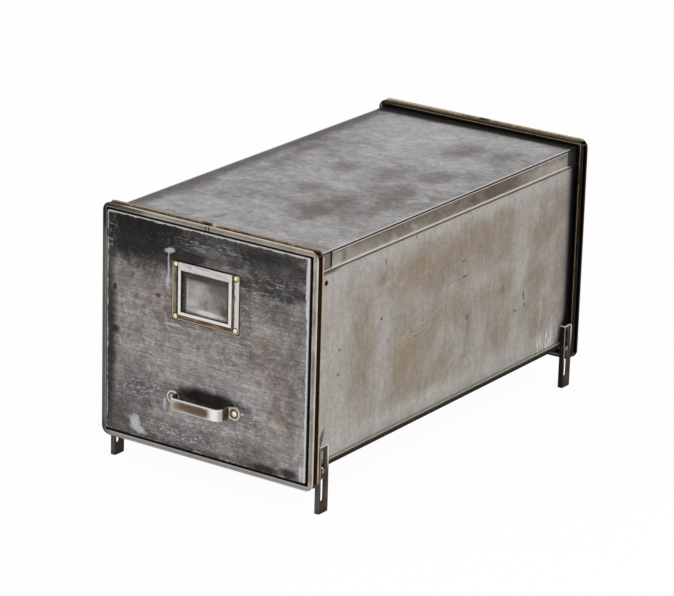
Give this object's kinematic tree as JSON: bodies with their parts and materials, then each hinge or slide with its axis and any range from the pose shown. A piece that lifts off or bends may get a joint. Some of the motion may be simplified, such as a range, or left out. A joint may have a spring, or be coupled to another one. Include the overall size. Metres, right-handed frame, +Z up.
{
  "type": "desktop file drawer",
  "caption": "Steel letter-size file case with flanged rims, slotted stacking legs and one roller drawer with label holder, bow pull and sliding follower.",
  "frame": {"origin": "middle of the footprint, on the surface the legs stand on", "axes": "+Z up; -Y towards the drawer front, so the drawer opens along -Y; +X to the right of someone facing the drawer front's back, that is to the viewer's right when looking along +Y"},
  "size_m": [0.33, 0.654, 0.345],
  "materials": {
    "rim_steel": "satin",
    "case_steel": "satin",
    "front_steel": "satin",
    "leg_steel": "satin",
    "bright_steel": "polished",
    "inner_steel": "satin",
    "holder_steel": "polished",
    "pull_steel": "polished",
    "brass": "polished"
  },
  "bodies": {
    "case": {"front_rim": "rim_steel", "rear_rim": "rim_steel", "front_rim_plate": "rim_steel", "rear_rim_plate": "rim_steel", "case_wall_left": "case_steel", "case_wall_right": "case_steel", "top_cover": "case_steel", "floor_pan": "case_steel", "leg_front_left": "leg_steel", "leg_front_right": "leg_steel", "leg_rear_left": "leg_steel", "leg_rear_right": "leg_steel", "leg_studs": "bright_steel", "leg_spacers_left": "bright_steel", "leg_spacers_right": "bright_steel", "runner_left": "inner_steel", "runner_right": "inner_steel", "front_roller_pin_left": "bright_steel", "front_roller_pin_right": "bright_steel"},
    "drawer": {"drawer_front": "front_steel", "drawer_front_liner": "inner_steel", "drawer_side_left": "inner_steel", "drawer_side_right": "inner_steel", "drawer_floor": "inner_steel", "drawer_back": "inner_steel", "rear_roller_bracket_left": "inner_steel", "rear_roller_bracket_right": "inner_steel", "rear_roller_pin_left": "bright_steel", "rear_roller_pin_right": "bright_steel", "label_holder": "holder_steel", "label_holder_rivets": "brass", "drawer_pull": "pull_steel", "drawer_pull_rivets": "brass", "follower_track": "inner_steel"},
    "front_roller_left": {"front_roller_left": "bright_steel"},
    "front_roller_right": {"front_roller_right": "bright_steel"},
    "rear_roller_left": {"rear_roller_left": "bright_steel"},
    "rear_roller_right": {"rear_roller_right": "bright_steel"},
    "follower": {"follower_foot": "inner_steel", "follower_plate": "inner_steel", "brake_pin": "bright_steel", "brake_spring": "bright_steel"},
    "brake_lever": {"brake_lever": "inner_steel"}
  },
  "joints": [
    {"name": "drawer_slide", "type": "slide", "parent": "case", "child": "drawer", "axis": [0, -1, 0], "range_m": [0, 0.481]},
    {"name": "front_roller_left_spin", "type": "hinge", "parent": "case", "child": "front_roller_left", "pos_m": [-0.1454, -0.25935, 0.065], "axis": [1, 0, 0], "range_deg": [0, 4242]},
    {"name": "front_roller_right_spin", "type": "hinge", "parent": "case", "child": "front_roller_right", "pos_m": [0.1454, -0.25935, 0.065], "axis": [1, 0, 0], "range_deg": [0, 4242]},
    {"name": "rear_roller_left_spin", "type": "hinge", "parent": "drawer", "child": "rear_roller_left", "pos_m": [-0.1454, 0.25165, 0.0616], "axis": [1, 0, 0], "range_deg": [0, 4242]},
    {"name": "rear_roller_right_spin", "type": "hinge", "parent": "drawer", "child": "rear_roller_right", "pos_m": [0.1454, 0.25165, 0.0616], "axis": [1, 0, 0], "range_deg": [0, 4242]},
    {"name": "follower_slide", "type": "slide", "parent": "drawer", "child": "follower", "axis": [0, -1, 0], "range_m": [-0.004, 0.44]},
    {"name": "brake_pivot", "type": "hinge", "parent": "follower", "child": "brake_lever", "pos_m": [0, 0.23075, 0.0988], "axis": [-1, 0, 0], "range_deg": [0, 18], "stiffness_Nm_per_rad": 0.12}
  ],
  "couplings": [
    {"joint": "front_roller_left_spin", "follows": "drawer_slide", "rad_per_m": 153.85},
    {"joint": "front_roller_right_spin", "follows": "drawer_slide", "rad_per_m": 153.85},
    {"joint": "rear_roller_left_spin", "follows": "drawer_slide", "rad_per_m": 153.85},
    {"joint": "rear_roller_right_spin", "follows": "drawer_slide", "rad_per_m": 153.85}
  ]
}
